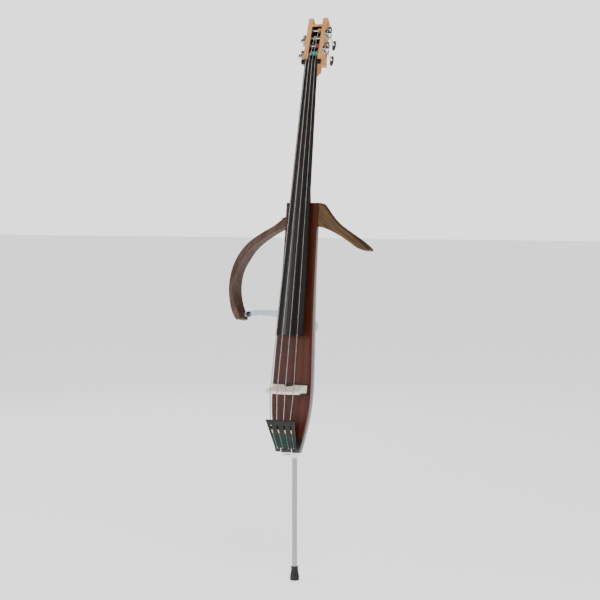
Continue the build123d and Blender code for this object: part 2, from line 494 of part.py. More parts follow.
for number, (side, along) in enumerate(MACHINES):
    machine = slant(side, along)
    worm_y = -side * WORM_OFFSET
    shaft = Plane(origin=machine.from_local_coords((0, worm_y, WORM_Z)), x_dir=machine.z_dir, z_dir=machine.x_dir)

    with BuildPart() as post:
        with BuildSketch(machine.offset(GEAR_TO)):
            Circle(POST_END_RADIUS)
        extrude(amount=-(GEAR_TO + 2 * BOX_HALF - CHEEK + POST_END_DEPTH - 1))
        with BuildSketch(machine.offset(-CHEEK - TOUCH_GAP)):
            Circle(POST_RADIUS)
        extrude(amount=-(2 * (BOX_HALF - CHEEK) - 2 * TOUCH_GAP))
        with BuildSketch(machine.offset(GEAR_TO)):
            Circle(POST_END_RADIUS + 0.8)
        extrude(amount=1.5)
        with BuildSketch(machine.offset(GEAR_TO + 0.7)):
            Rectangle(12, 1)
        extrude(amount=1, mode=Mode.SUBTRACT)
    save(post.part, f"post_{number + 1}")

    string = POST_OF_STRING.index(number)
    with BuildPart() as winding:
        winding_from, winding_to = WINDING_SPANS[string]
        with BuildSketch(beside(BOX, winding_from)):
            with Locations((along, -POST_DEPTH)):
                Circle(WINDING_RADIUS)
                Circle(POST_RADIUS, mode=Mode.SUBTRACT)
        extrude(amount=winding_to - winding_from)
    save(winding.part, f"winding_{number + 1}")

    with BuildPart() as gear:
        with BuildSketch(machine.offset(GEAR_FROM)):
            Circle(GEAR_ROOT)
            with PolarLocations((GEAR_RADIUS + GEAR_ROOT) / 2 - 0.5, GEAR_TEETH):
                Rectangle(GEAR_RADIUS - GEAR_ROOT + 1, 1.7)
            Circle(POST_END_RADIUS, mode=Mode.SUBTRACT)
        extrude(amount=GEAR_THICKNESS)
    save(gear.part, f"gear_{number + 1}")

    with BuildPart() as worm:
        with BuildSketch(shaft.offset(-WORM_HALF)):
            Circle(WORM_RADIUS)
        extrude(amount=2 * WORM_HALF)
        with BuildSketch(shaft.offset(-WORM_HALF - EAR_THICKNESS - 1)):
            Circle(SHAFT_RADIUS)
        extrude(amount=WORM_HALF + EAR_THICKNESS + 1 + SHAFT_END)
    save(worm.part, f"worm_{number + 1}")

    with BuildPart() as key:
        with BuildSketch(machine.offset(WORM_Z - LEAF_THICKNESS / 2)):
            with Locations((KEY_CENTRE, worm_y)):
                Ellipse(LEAF_HALF_LONG, LEAF_HALF_WIDE)
        extrude(amount=LEAF_THICKNESS)
        # hub, with the shaft's end in it
        with BuildSketch(shaft.offset(SHAFT_END - HUB_LENGTH / 2)):
            Circle(HUB_RADIUS)
        extrude(amount=HUB_LENGTH)
        with BuildSketch(shaft.offset(SHAFT_END)):
            Circle(SHAFT_RADIUS)
        extrude(amount=-HUB_LENGTH, mode=Mode.SUBTRACT)
    save(key.part, f"key_{number + 1}")

    with BuildPart() as plate:
        with BuildSketch(machine):
            with Locations((0, -side * (WORM_OFFSET + PLATE_LOW - PLATE_HIGH) / 2)):
                Rectangle(PLATE_WIDTH, WORM_OFFSET + PLATE_LOW + PLATE_HIGH)
            with Locations(((PLATE_BACK - PLATE_FRONT) / 2, worm_y)):
                Rectangle(PLATE_BACK + PLATE_FRONT, EAR_WIDTH)
            Circle(POST_END_RADIUS + RUNNING_FIT, mode=Mode.SUBTRACT)
        extrude(amount=PLATE_THICKNESS)
        with BuildSketch(machine.offset(PLATE_THICKNESS)):
            with Locations((-WORM_HALF - TOUCH_GAP - EAR_THICKNESS / 2, worm_y),
                           (WORM_HALF + TOUCH_GAP + EAR_THICKNESS / 2, worm_y)):
                Rectangle(EAR_THICKNESS, EAR_WIDTH)
        extrude(amount=2 * (WORM_Z - PLATE_THICKNESS))
        with BuildSketch(shaft.offset(-WIDE / 10)):
            Circle(SHAFT_RADIUS + RUNNING_FIT)
        extrude(amount=WIDE / 5, mode=Mode.SUBTRACT)
        add(machine_screws.part, mode=Mode.SUBTRACT)
    save(plate.part, f"machine_plate_{number + 1}")

# ---- bridge base, pickup strips and bridge ----
def toward_foot(face, along):
    """Cross-section seen from above the piece: local x to the right, y out of its front."""
    return Plane(origin=face.from_local_coords((0, along, 0)), x_dir=face.x_dir, z_dir=-face.y_dir)


with BuildPart() as bridge_base:
    with BuildSketch(BODY):
        with Locations((0, (BASE_FROM + BASE_TO) / 2)):
            RectangleRounded(2 * BASE_HALF, BASE_TO - BASE_FROM, 3)
    extrude(amount=BASE_THICKNESS)
    fillet(bridge_base.faces().sort_by(Axis(BODY.origin, BODY.z_dir))[-1].edges(), 1)
save(bridge_base.part, "bridge_base")

FOOT_HALF = (FOOT_OUTER - FOOT_INNER) / 2
FOOT_MIDDLE = (FOOT_OUTER + FOOT_INNER) / 2
with BuildPart() as bridge_pickup:
    with BuildSketch(BODY.offset(BASE_THICKNESS)):
        with Locations((-FOOT_MIDDLE, BRIDGE_TAIL_EDGE + FOOT_THICKNESS / 2),
                       (FOOT_MIDDLE, BRIDGE_TAIL_EDGE + FOOT_THICKNESS / 2)):
            Rectangle(2 * FOOT_HALF, FOOT_THICKNESS - 2)
    extrude(amount=PICKUP_THICKNESS)
save(bridge_pickup.part, "bridge_pickup")

FEET = BASE_THICKNESS + PICKUP_THICKNESS
CROWN_TOP = CROWN_HEIGHT - 0.4
CROWN_END = CROWN_TOP - CROWN_RADIUS + math.sqrt(CROWN_RADIUS**2 - CROWN_HALF**2)
with BuildPart() as bridge:
    with BuildSketch(toward_foot(BODY, 0)):
        with BuildLine():
            ThreePointArc((-CROWN_HALF, CROWN_END), (0, CROWN_TOP), (CROWN_HALF, CROWN_END))
            for side in (-1, 1):
                Spline((side * CROWN_HALF, CROWN_END), (side * (CROWN_HALF - 6), FEET + 39),
                       (side * (CROWN_HALF - 10), FEET + 25), (side * (CROWN_HALF - 7), FEET + 12),
                       (side * FOOT_OUTER, FEET + 4))
                Polyline((side * FOOT_OUTER, FEET + 4), (side * FOOT_OUTER, FEET), (side * FOOT_INNER, FEET),
                         (side * (FOOT_INNER - 1), FEET + 4))
            ThreePointArc((1 - FOOT_INNER, FEET + 4), (0, FEET + 20), (FOOT_INNER - 1, FEET + 4))
        make_face()
        with Locations((-KIDNEY_X, FEET + KIDNEY_UP), (KIDNEY_X, FEET + KIDNEY_UP)):
            Ellipse(7, 4.5, mode=Mode.SUBTRACT)
        with Locations((-6, FEET + KIDNEY_UP), (6, FEET + KIDNEY_UP)):
            Circle(3.8, mode=Mode.SUBTRACT)
    extrude(amount=-WIDE)
    tail_lean = math.tan(math.radians(8)) * (CROWN_TOP - FEET)
    add(side_slab([(BRIDGE_TAIL_EDGE, FEET), (BRIDGE_TAIL_EDGE + FOOT_THICKNESS, FEET),
                   (BRIDGE_TAIL_EDGE + FOOT_THICKNESS, FEET + 6),
                   (BRIDGE_TAIL_EDGE - tail_lean + CROWN_THICKNESS, CROWN_TOP + 1),
                   (BRIDGE_TAIL_EDGE - tail_lean, CROWN_TOP + 1)]), mode=Mode.INTERSECT)
    for cut in STRING_CUTS:
        add(cut, mode=Mode.SUBTRACT)
save(bridge.part, "bridge")

# ---- tailpiece: grooved plate on two wire legs ----
with BuildPart() as tailpiece:
    with BuildSketch(TAIL):
        with BuildLine():
            Polyline((-TAIL_LOW_HALF, 0), (TAIL_LOW_HALF, 0), (TAIL_TOP_HALF, TAIL_LENGTH),
                     (-TAIL_TOP_HALF, TAIL_LENGTH), close=True)
        make_face()
    extrude(amount=-TAIL_THICKNESS)
    fillet(tailpiece.edges().filter_by(lambda e: abs(TAIL.to_local_coords(e.center()).Y - TAIL_LENGTH / 2) < 1), 1.2)
    for low, top in zip(TAIL_LOW_X, TAIL_TOP_X):
        spread = (top * 0.97 - low) / (BALL_FROM + BALL_LENGTH)
        hole_x = low + spread * KEYHOLE_AT
        ball_x = low + spread * (BALL_FROM - 1)
        for start_x, start, depth in [(low, -1, GROOVE_DEPTH), (ball_x, BALL_FROM - 1, TAIL_THICKNESS - 1)]:
            with BuildSketch(TAIL):
                with BuildLine():
                    Polyline((start_x - GROOVE_WIDTH / 2, start), (start_x + GROOVE_WIDTH / 2, start),
                             (hole_x + GROOVE_WIDTH / 2, KEYHOLE_AT), (hole_x - GROOVE_WIDTH / 2, KEYHOLE_AT),
                             close=True)
                make_face()
            extrude(amount=-depth, mode=Mode.SUBTRACT)
        with BuildSketch(TAIL):
            with Locations((hole_x, KEYHOLE_AT)):
                Circle(KEYHOLE_RADIUS)
        extrude(amount=-TAIL_THICKNESS, mode=Mode.SUBTRACT)
    with BuildSketch(across(TAIL, -1)):
        with Locations((-WIRE_X, TAIL_THICKNESS - 1.8), (WIRE_X, TAIL_THICKNESS - 1.8)):
            Circle(WIRE_RADIUS)
    extrude(amount=13, mode=Mode.SUBTRACT)
save(tailpiece.part, "tailpiece")

PIN_BEHIND = BODY.to_local_coords(Vector(0, 0, COLLAR_FOOT_Z + 16)).Z
LOOP = COLLAR_RADIUS + WIRE_RADIUS + TOUCH_GAP
UNDER = -WIRE_RADIUS - 0.5
with BuildPart() as tail_wire:
    wire_height = 1.8 - TAIL_THICKNESS
    with BuildLine() as wire_path:
        FilletPolyline(
            TAIL.from_local_coords((-WIRE_X, 11, wire_height)), TAIL.from_local_coords((-WIRE_X, -8, wire_height)),
            BODY.from_local_coords((-WIRE_X, UNDER, 4)), BODY.from_local_coords((-LOOP, UNDER, PIN_BEHIND + LOOP)),
            BODY.from_local_coords((-LOOP, UNDER, PIN_BEHIND - LOOP)),
            BODY.from_local_coords((LOOP, UNDER, PIN_BEHIND - LOOP)),
            BODY.from_local_coords((LOOP, UNDER, PIN_BEHIND + LOOP)), BODY.from_local_coords((WIRE_X, UNDER, 4)),
            TAIL.from_local_coords((WIRE_X, -8, wire_height)), TAIL.from_local_coords((WIRE_X, 11, wire_height)),
            radius=[5, 3, 20, LOOP - 0.1, LOOP - 0.1, 20, 3, 5])
    with BuildSketch(Plane(origin=wire_path.line @ 0, z_dir=wire_path.line % 0)):
        Circle(WIRE_RADIUS)
    sweep()
save(tail_wire.part, "tail_wire")

# ---- arms: each a bowed piece of walnut with a tongue in the body ----
def tongue(side):
    """Flat tongue that runs from the arm into its pocket in the body."""
    inner = BODY_STATIONS[-1][1] - TONGUE_REACH + POCKET_GAP
    low_x, high_x = sorted([side * inner, side * (inner + 40)])
    return box_in(BODY, (low_x, TONGUE_AT - TONGUE_HEIGHT / 2, -TONGUE_FROM - TONGUE_DEPTH),
                  (high_x, TONGUE_AT + TONGUE_HEIGHT / 2, -TONGUE_FROM))


REST_AXIS = Plane(origin=(0, REST_Y, REST_Z), x_dir=(0, 1, 0), z_dir=(1, 0, 0))
CLEAR_OF_BODY = body_oval(-TOUCH_GAP)
with BuildPart() as left_arm:
    with BuildSketch(BODY.offset(-ARM_FRONT)):
        with BuildLine():
            outer = Spline(*LEFT_OUTER)
            inner = Spline(*LEFT_INNER)
            Line(outer @ 0, inner @ 0)
            Line(outer @ 1, inner @ 1)
        make_face()
    extrude(amount=-WIDE / 2)
    add(side_slab(LEFT_SIDE), mode=Mode.INTERSECT)
    front_edges = left_arm.faces().sort_by(Axis(BODY.origin, BODY.z_dir))[-1].edges()
    fillet(front_edges.filter_by(lambda e: e.length > 100), 3)
    add(CLEAR_OF_BODY, mode=Mode.SUBTRACT)
    add(tongue(-1))
    # boss the bar turns on, and its thread
    with BuildSketch(REST_AXIS.offset(REST_X - TOUCH_GAP)):
        Circle(BOSS_RADIUS)
    extrude(amount=-12)
    with BuildSketch(REST_AXIS.offset(REST_X)):
        Circle(REST_SCREW_RADIUS + RUNNING_FIT)
    extrude(amount=-REST_SCREW_DEPTH - 1, mode=Mode.SUBTRACT)
save(left_arm.part, "left_arm")

with BuildPart() as right_arm:
    with BuildSketch(BODY.offset(-ARM_FRONT)):
        with BuildLine():
            upper = Spline(*RIGHT_UPPER)
            lower = Spline(*RIGHT_LOWER)
            Polyline(upper @ 0, (40, BODY_LENGTH), lower @ 0)
            Line(upper @ 1, lower @ 1)
        make_face()
    extrude(amount=-ARM_DEPTH)
    front = right_arm.faces().sort_by(Axis(BODY.origin, BODY.z_dir))[-1]
    long_edges = front.edges().filter_by(lambda e: e.length > 100)
    chamfer(long_edges.sort_by(Axis(BODY.origin, BODY.y_dir))[-1], RIGHT_BEVEL)
    add(CLEAR_OF_BODY, mode=Mode.SUBTRACT)
    add(tongue(1))
save(right_arm.part, "right_arm")

# ---- arm bolts: from the back, each with its end against a tongue ----
for side, label in [(-1, "left"), (1, "right")]:
    knob_from = -BODY_STATIONS[-2][2] + 11
    with BuildPart() as arm_bolt:
        with BuildSketch(BODY.offset(-TONGUE_FROM - TONGUE_DEPTH - TOUCH_GAP)):
            with Locations((side * ARM_BOLT_X, TONGUE_AT)):
                Circle(ARM_BOLT_RADIUS)
        extrude(amount=knob_from + TONGUE_FROM + TONGUE_DEPTH)
        with BuildSketch(BODY.offset(knob_from)):
            with Locations((side * ARM_BOLT_X, TONGUE_AT)):
                Circle(ARM_KNOB_RADIUS)
            with Locations(Location((side * ARM_BOLT_X, TONGUE_AT))):
                with PolarLocations(ARM_KNOB_RADIUS + 1, 8):
                    Circle(2.2, mode=Mode.SUBTRACT)
        extrude(amount=-ARM_KNOB_LENGTH)
    save(arm_bolt.part, f"{label}_arm_bolt")

# ---- rest bar and its thumb knob ----
with BuildPart() as rest_bar:
    turn_x, turn_y = REST_X + BAR_BEND, BAR_BACK_Y - BAR_BEND
    inside = BAR_BEND - BAR_THICKNESS
    with BuildSketch(Plane.XY):
        with BuildLine():
            Polyline((turn_x, BAR_BACK_Y), (WIDE / 4, BAR_BACK_Y), (WIDE / 4, BAR_BACK_Y - BAR_THICKNESS),
                     (turn_x, BAR_BACK_Y - BAR_THICKNESS))
            RadiusArc((turn_x, BAR_BACK_Y - BAR_THICKNESS), (turn_x - inside, turn_y), -inside)
            Polyline((turn_x - inside, turn_y), (turn_x - inside, REST_Y - 20), (REST_X, REST_Y - 20),
                     (REST_X, turn_y))
            RadiusArc((REST_X, turn_y), (turn_x, BAR_BACK_Y), BAR_BEND)
        make_face()
    extrude(amount=3 * WIDE)
    with BuildSketch(Plane.XZ.offset(-WIDE)):
        with BuildLine():
            Spline((REST_X - 5, REST_Z + BAR_HALF), (turn_x, REST_Z + BAR_HALF - 1), (-70, REST_Z - 1),
                   (PADDLE_X, PADDLE_Z + PADDLE_HALF))
            ThreePointArc((PADDLE_X, PADDLE_Z + PADDLE_HALF), (PADDLE_X + PADDLE_HALF, PADDLE_Z),
                          (PADDLE_X, PADDLE_Z - PADDLE_HALF))
            Spline((PADDLE_X, PADDLE_Z - PADDLE_HALF), (-70, REST_Z - 32), (turn_x, REST_Z - 13),
                   (REST_X - 5, REST_Z - BAR_HALF))
            Line((REST_X - 5, REST_Z - BAR_HALF), (REST_X - 5, REST_Z + BAR_HALF))
        make_face()
    extrude(amount=2 * WIDE, mode=Mode.INTERSECT)
    with BuildSketch(REST_AXIS.offset(REST_X)):
        Circle(BAR_HALF)
        with Locations((WIDE / 2, 0)):
            Rectangle(WIDE, WIDE / 2)
    extrude(amount=WIDE, mode=Mode.INTERSECT)
    with BuildSketch(REST_AXIS.offset(REST_X)):
        Circle(REST_SCREW_RADIUS + RUNNING_FIT)
    extrude(amount=BAR_THICKNESS, mode=Mode.SUBTRACT)
save(rest_bar.part, "rest_bar")

with BuildPart() as rest_knob:
    with BuildSketch(REST_AXIS.offset(REST_X - REST_SCREW_DEPTH)):
        Circle(REST_SCREW_RADIUS)
    extrude(amount=REST_SCREW_DEPTH + BAR_THICKNESS + TOUCH_GAP)
    with BuildSketch(REST_AXIS.offset(REST_X + BAR_THICKNESS + TOUCH_GAP)):
        Circle(KNOB_RADIUS)
        with PolarLocations(KNOB_RADIUS + 0.4, KNOB_GROOVES):
            Circle(0.9, mode=Mode.SUBTRACT)
    extrude(amount=KNOB_THICKNESS)
save(rest_knob.part, "rest_knob")

# ---- controls: panel with battery tray, two dials, output jack, battery door ----
OUTER = BODY.offset(-PANEL_DEPTH)
INNER = BODY.offset(PANEL_THICKNESS - PANEL_DEPTH)
DOOR_MIDDLE = DOOR_FOOT + DOOR_HEIGHT / 2
HINGE = BODY.from_local_coords((0, DOOR_FOOT, PANEL_THICKNESS / 2 - PANEL_DEPTH))
with BuildPart() as control_plate:
    with BuildSketch(OUTER):
        with Locations((0, PANEL_AT)):
            RectangleRounded(PANEL_WIDTH, PANEL_HEIGHT, 3)
    extrude(amount=PANEL_THICKNESS)
    with BuildSketch(INNER):
        with Locations((0, DOOR_MIDDLE)):
            Rectangle(DOOR_WIDTH + 2 * TRAY_WALL, BATTERY_HEIGHT + 2 * (TRAY_WALL + POCKET_GAP))
    extrude(amount=BATTERY_DEPTH + POCKET_GAP + TRAY_WALL)
    with BuildSketch(INNER):
        with Locations((0, DOOR_MIDDLE)):
            Rectangle(BATTERY_WIDTH + 2 * POCKET_GAP, BATTERY_HEIGHT + 2 * POCKET_GAP)
    extrude(amount=BATTERY_DEPTH + POCKET_GAP, mode=Mode.SUBTRACT)
    # the door's opening runs round its rolled foot
    with BuildSketch(OUTER):
        with Locations((0, DOOR_MIDDLE)):
            Rectangle(DOOR_WIDTH + 2 * TOUCH_GAP, DOOR_HEIGHT + 2 * TOUCH_GAP + PANEL_THICKNESS)
    extrude(amount=PANEL_THICKNESS + TOUCH_GAP, mode=Mode.SUBTRACT)
    with BuildSketch(OUTER):
        with Locations((-DIAL_X, DIAL_AT), (DIAL_X, DIAL_AT)):
            Circle(DIAL_SHAFT + RUNNING_FIT)
        with Locations((0, JACK_AT)):
            Circle(JACK_RADIUS)
    extrude(amount=PANEL_THICKNESS, mode=Mode.SUBTRACT)
save(control_plate.part, "control_plate")

with BuildPart() as battery_door:
    with BuildSketch(OUTER):
        with Locations((0, DOOR_MIDDLE)):
            Rectangle(DOOR_WIDTH, DOOR_HEIGHT)
    extrude(amount=PANEL_THICKNESS)
    with BuildSketch(Plane(origin=HINGE + Vector(-DOOR_WIDTH / 2, 0, 0), z_dir=(1, 0, 0))):
        Circle(PANEL_THICKNESS / 2)
    extrude(amount=DOOR_WIDTH)
    # finger ridge at the free end
    with BuildSketch(OUTER):
        with Locations((0, DOOR_FOOT + DOOR_HEIGHT - 5)):
            Rectangle(14, 2)
    extrude(amount=-1.2)
save(battery_door.part, "battery_door")

with BuildPart() as battery:
    with BuildSketch(INNER.offset(TOUCH_GAP)):
        with Locations((0, DOOR_MIDDLE)):
            RectangleRounded(BATTERY_WIDTH, BATTERY_HEIGHT, 2)
    extrude(amount=BATTERY_DEPTH - TOUCH_GAP)
save(battery.part, "battery")

POT_BACK = POT_HEIGHT + BOARD_THICKNESS
with BuildPart() as circuit_board:
    with BuildSketch(INNER.offset(POT_HEIGHT)):
        with Locations((0, DIAL_AT - 5)):
            Rectangle(2 * BOARD_HALF_SIDE, 2 * BOARD_HALF_SIDE - 10)
    extrude(amount=BOARD_THICKNESS)
    with BuildSketch(INNER):
        with Locations((-DIAL_X, DIAL_AT), (DIAL_X, DIAL_AT)):
            Circle(POT_RADIUS)
    extrude(amount=POT_HEIGHT)
    with BuildSketch(INNER):
        with Locations((-DIAL_X, DIAL_AT), (DIAL_X, DIAL_AT)):
            Circle(DIAL_SHAFT + RUNNING_FIT)
    extrude(amount=POT_HEIGHT - 2, mode=Mode.SUBTRACT)
save(circuit_board.part, "circuit_board")

for side, label in [(-1, "volume_knob"), (1, "tone_knob")]:
    with BuildPart() as dial:
        with BuildSketch(INNER.offset(POT_HEIGHT - 3)):
            with Locations((side * DIAL_X, DIAL_AT)):
                Circle(DIAL_SHAFT)
        extrude(amount=-(POT_HEIGHT - 3 + PANEL_THICKNESS + TOUCH_GAP))
        with BuildSketch(OUTER.offset(-TOUCH_GAP)):
            with Locations((side * DIAL_X, DIAL_AT)):
                Circle(DIAL_RADIUS)
            with Locations(Location((side * DIAL_X, DIAL_AT))):
                with PolarLocations(DIAL_RADIUS + 0.5, 12):
                    Circle(0.9, mode=Mode.SUBTRACT)
        extrude(amount=-DIAL_HEIGHT)
    save(dial.part, label)

with BuildPart() as output_jack:
    with BuildSketch(INNER):
        with Locations((0, JACK_AT)):
            Circle(JACK_RADIUS + 1.5)
    extrude(amount=JACK_LENGTH - PANEL_THICKNESS)
    with BuildSketch(OUTER):
        with Locations((0, JACK_AT)):
            Circle(JACK_RADIUS)
    extrude(amount=PANEL_THICKNESS)
    with BuildSketch(OUTER):
        with Locations((0, JACK_AT)):
            RegularPolygon(JACK_FLANGE, 6)
    extrude(amount=-2)
    with BuildSketch(OUTER.offset(-2)):
        with Locations((0, JACK_AT)):
            Circle(JACK_BORE)
    extrude(amount=JACK_LENGTH, mode=Mode.SUBTRACT)
save(output_jack.part, "output_jack")
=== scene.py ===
"""Frame-type electric upright bass on its endpin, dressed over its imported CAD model. Metres, +Z up along
the endpin, -Y to the front, origin under the rubber tip."""

import json
import math

import bmesh
import bpy
from mathutils import Matrix, Vector


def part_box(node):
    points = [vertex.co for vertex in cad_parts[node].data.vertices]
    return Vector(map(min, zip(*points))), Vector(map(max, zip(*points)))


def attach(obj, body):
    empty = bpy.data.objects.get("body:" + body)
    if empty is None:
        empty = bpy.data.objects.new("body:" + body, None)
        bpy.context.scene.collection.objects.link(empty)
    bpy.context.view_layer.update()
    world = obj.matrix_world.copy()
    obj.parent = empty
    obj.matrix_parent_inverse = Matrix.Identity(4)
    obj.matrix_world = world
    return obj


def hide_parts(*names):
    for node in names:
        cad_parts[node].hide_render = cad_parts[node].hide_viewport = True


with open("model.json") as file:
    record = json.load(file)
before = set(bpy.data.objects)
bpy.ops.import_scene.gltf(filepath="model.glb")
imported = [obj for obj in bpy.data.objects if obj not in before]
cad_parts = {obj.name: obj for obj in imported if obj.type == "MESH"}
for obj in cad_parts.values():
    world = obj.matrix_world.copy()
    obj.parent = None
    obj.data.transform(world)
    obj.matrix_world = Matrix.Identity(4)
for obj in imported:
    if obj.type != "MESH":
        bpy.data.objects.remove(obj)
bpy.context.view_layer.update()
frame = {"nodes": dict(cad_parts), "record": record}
MM = 0.001

# ---- body: front and shell ----
# A hollow body of mahogany: a front plate glued on a carved, rounded back. It is stained dark red-brown
# and sprayed with gloss lacquer, so the pores are nearly filled and the edges show a paler line.
BODY_FOOT = Vector((0, -0.0545, 0.406))
BODY_LEAN = math.radians(8.1)


def on_body(right, up, out):
    """Point given right of the middle, up the body and out of its front, in millimetres."""
    lean_up = Vector((0, math.sin(BODY_LEAN), math.cos(BODY_LEAN)))
    lean_out = Vector((0, -math.cos(BODY_LEAN), math.sin(BODY_LEAN)))
    return BODY_FOOT + (Vector((right, 0, 0)) + lean_up * up + lean_out * out) * MM


def new_finish(name, roughness, metallic=0.0, colour=(0.5, 0.5, 0.5)):
    """Empty finish: its material, its nodes, its links and its shader."""
    material = bpy.data.materials.new(name)
    material.use_nodes = True
    tree = material.node_tree
    shader = tree.nodes["Principled BSDF"]
    shader.inputs["Base Color"].default_value = (*colour, 1)
    shader.inputs["Roughness"].default_value = roughness
    shader.inputs["Metallic"].default_value = metallic
    return material, tree.nodes, tree.links, shader


def stretched(nodes, links, scale, lean=0.0, turn=0.0):
    """Coordinates of the piece, stretched along it, leaning back and turned as the piece is."""
    place = nodes.new("ShaderNodeTexCoord")
    tilt = nodes.new("ShaderNodeMapping")
    tilt.inputs["Rotation"].default_value = (lean, turn, 0)
    links.new(place.outputs["Object"], tilt.inputs["Vector"])
    stretch = nodes.new("ShaderNodeMapping")
    stretch.inputs["Scale"].default_value = scale
    links.new(tilt.outputs["Vector"], stretch.inputs["Vector"])
    return stretch.outputs["Vector"]


def cloud(nodes, links, where, detail=4.0, rough=0.6, twist=0.0):
    """Soft random pattern."""
    noise = nodes.new("ShaderNodeTexNoise")
    noise.inputs["Scale"].default_value = 1.0
    noise.inputs["Detail"].default_value = detail
    noise.inputs["Roughness"].default_value = rough
    noise.inputs["Distortion"].default_value = twist
    links.new(where, noise.inputs["Vector"])
    return noise.outputs["Fac"]


def shades(nodes, links, pattern, stops):
    """Colours laid over a pattern: each stop is a place from 0 to 1 and its colour."""
    ramp = nodes.new("ShaderNodeValToRGB")
    while len(ramp.color_ramp.elements) < len(stops):
        ramp.color_ramp.elements.new(0.5)
    for element, (place, colour) in zip(ramp.color_ramp.elements, stops):
        element.position = place
        element.color = (*colour, 1)
    links.new(pattern, ramp.inputs["Fac"])
    return ramp.outputs["Color"]


def between(nodes, links, pattern, low, high, start=0.3, end=0.7):
    """Number that runs from low to high over a pattern."""
    spread = nodes.new("ShaderNodeMapRange")
    spread.inputs["From Min"].default_value = start
    spread.inputs["From Max"].default_value = end
    spread.inputs["To Min"].default_value = low
    spread.inputs["To Max"].default_value = high
    links.new(pattern, spread.inputs["Value"])
    return spread.outputs["Result"]


def relief(nodes, links, shader, pattern, depth, strength=0.5):
    """Fine relief from a pattern, of a depth in metres."""
    bump = nodes.new("ShaderNodeBump")
    bump.inputs["Strength"].default_value = strength
    bump.inputs["Distance"].default_value = depth
    links.new(pattern, bump.inputs["Height"])
    links.new(bump.outputs["Normal"], shader.inputs["Normal"])


def blended(nodes, links, first, second, share):
    """Two patterns or colours as one."""
    mix = nodes.new("ShaderNodeMix")
    mix.data_type = "RGBA"
    mix.blend_type = "MULTIPLY"
    mix.inputs["Factor"].default_value = share
    links.new(first, mix.inputs["A"])
    links.new(second, mix.inputs["B"])
    return mix.outputs["Result"]


def wood(name, tones, gloss, lean=BODY_LEAN, turn=0.0, pores=0.0002, coat=0.0, fibre=420.0, figure=70.0,
         figure_length=3.0):
    """Timber with its fibres along the piece: tones run from the dark late wood to the pale early wood."""
    material, nodes, links, shader = new_finish(name, gloss)
    figure_way = stretched(nodes, links, (figure, figure, figure_length), lean, turn)
    broad = cloud(nodes, links, figure_way, 3, 0.5, 0.6)
    fine = cloud(nodes, links, stretched(nodes, links, (fibre, fibre, 11), lean, turn), 6, 0.7, 0.2)
    dark, middle, pale = tones
    colour = shades(nodes, links, broad, [(0.28, dark), (0.5, middle), (0.74, pale)])
    lines = shades(nodes, links, fine, [(0.34, (0.5, 0.45, 0.42)), (0.52, (1, 1, 1)), (0.8, (1, 1, 1))])
    links.new(blended(nodes, links, colour, lines, 0.75), shader.inputs["Base Color"])
    links.new(between(nodes, links, fine, gloss * 1.35, gloss * 0.85), shader.inputs["Roughness"])
    relief(nodes, links, shader, fine, pores)
    shader.inputs["Coat Weight"].default_value = coat
    shader.inputs["Coat Roughness"].default_value = 0.06
    shader.inputs["Specular IOR Level"].default_value = 0.3
    return material


def dress(material, *names):
    """Gives CAD nodes their finish."""
    for name in names:
        piece = frame["nodes"][name]
        if not piece.material_slots:
            piece.data.materials.append(material)
        for place in piece.material_slots:
            place.material = material


def soften(width, *names):
    """Breaks the edges of CAD nodes, as sanding or tumbling does. Width in millimetres."""
    for name in names:
        edge = frame["nodes"][name].modifiers.new("broken_edge", "BEVEL")
        edge.width = width * MM
        edge.segments = 2
        edge.limit_method = "ANGLE"
        edge.angle_limit = math.radians(35)
        edge.harden_normals = True


MAHOGANY_TONES = [(0.026, 0.0050, 0.0028), (0.060, 0.0125, 0.0066), (0.100, 0.0235, 0.0110)]
mahogany = wood("mahogany_lacquer", MAHOGANY_TONES,
                0.30, coat=0.22, pores=0.00008)
dress(mahogany, "body_front", "body_shell")

# ---- end cap ----
# Black moulded cap over the foot of the body. It takes the pull of the tail wire, and is glued and held
# by two screws from below.
def black_moulding(name, roughness, grain=900.0, shine=0.5, colour=(0.012, 0.012, 0.013)):
    material, nodes, links, shader = new_finish(name, roughness)
    speckle = cloud(nodes, links, stretched(nodes, links, (grain, grain, grain)), 3, 0.6)
    wear = cloud(nodes, links, stretched(nodes, links, (55, 55, 55)), 4, 0.6)
    paler = tuple(value * 2.1 + 0.004 for value in colour)
    links.new(shades(nodes, links, wear, [(0.35, colour), (0.7, paler)]), shader.inputs["Base Color"])
    links.new(between(nodes, links, wear, roughness * 0.8, roughness * 1.3), shader.inputs["Roughness"])
    relief(nodes, links, shader, speckle, 0.00008)
    shader.inputs["Specular IOR Level"].default_value = shine
    return material


cap_black = black_moulding("cap_black", 0.34)
dress(cap_black, "end_cap")
soften(1.0, "end_cap")


def metal(name, colour, roughness, brushed=(160, 160, 160), depth=0.00002):
    """Plated or polished metal with fine handling marks."""
    material, nodes, links, shader = new_finish(name, roughness, 1.0, colour)
    marks = cloud(nodes, links, stretched(nodes, links, brushed), 5, 0.65)
    dull = tuple(value * 0.78 for value in colour)
    links.new(shades(nodes, links, marks, [(0.3, dull), (0.6, colour)]), shader.inputs["Base Color"])
    links.new(between(nodes, links, marks, roughness * 1.6, roughness * 0.7), shader.inputs["Roughness"])
    relief(nodes, links, shader, marks, depth, 0.3)
    return material


def mesh_piece(name, mesh_builder, material, body, smooth=35):
    """Piece of its own, from a bmesh, riding on a body."""
    mesh = bpy.data.meshes.new(name)
    mesh_builder.to_mesh(mesh)
    mesh_builder.free()
    for face in mesh.polygons:
        face.use_smooth = True
    mesh.set_sharp_from_angle(angle=math.radians(smooth))
    mesh.materials.append(material)
    piece = bpy.data.objects.new(name, mesh)
    bpy.context.scene.collection.objects.link(piece)
    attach(piece, body)
    return piece


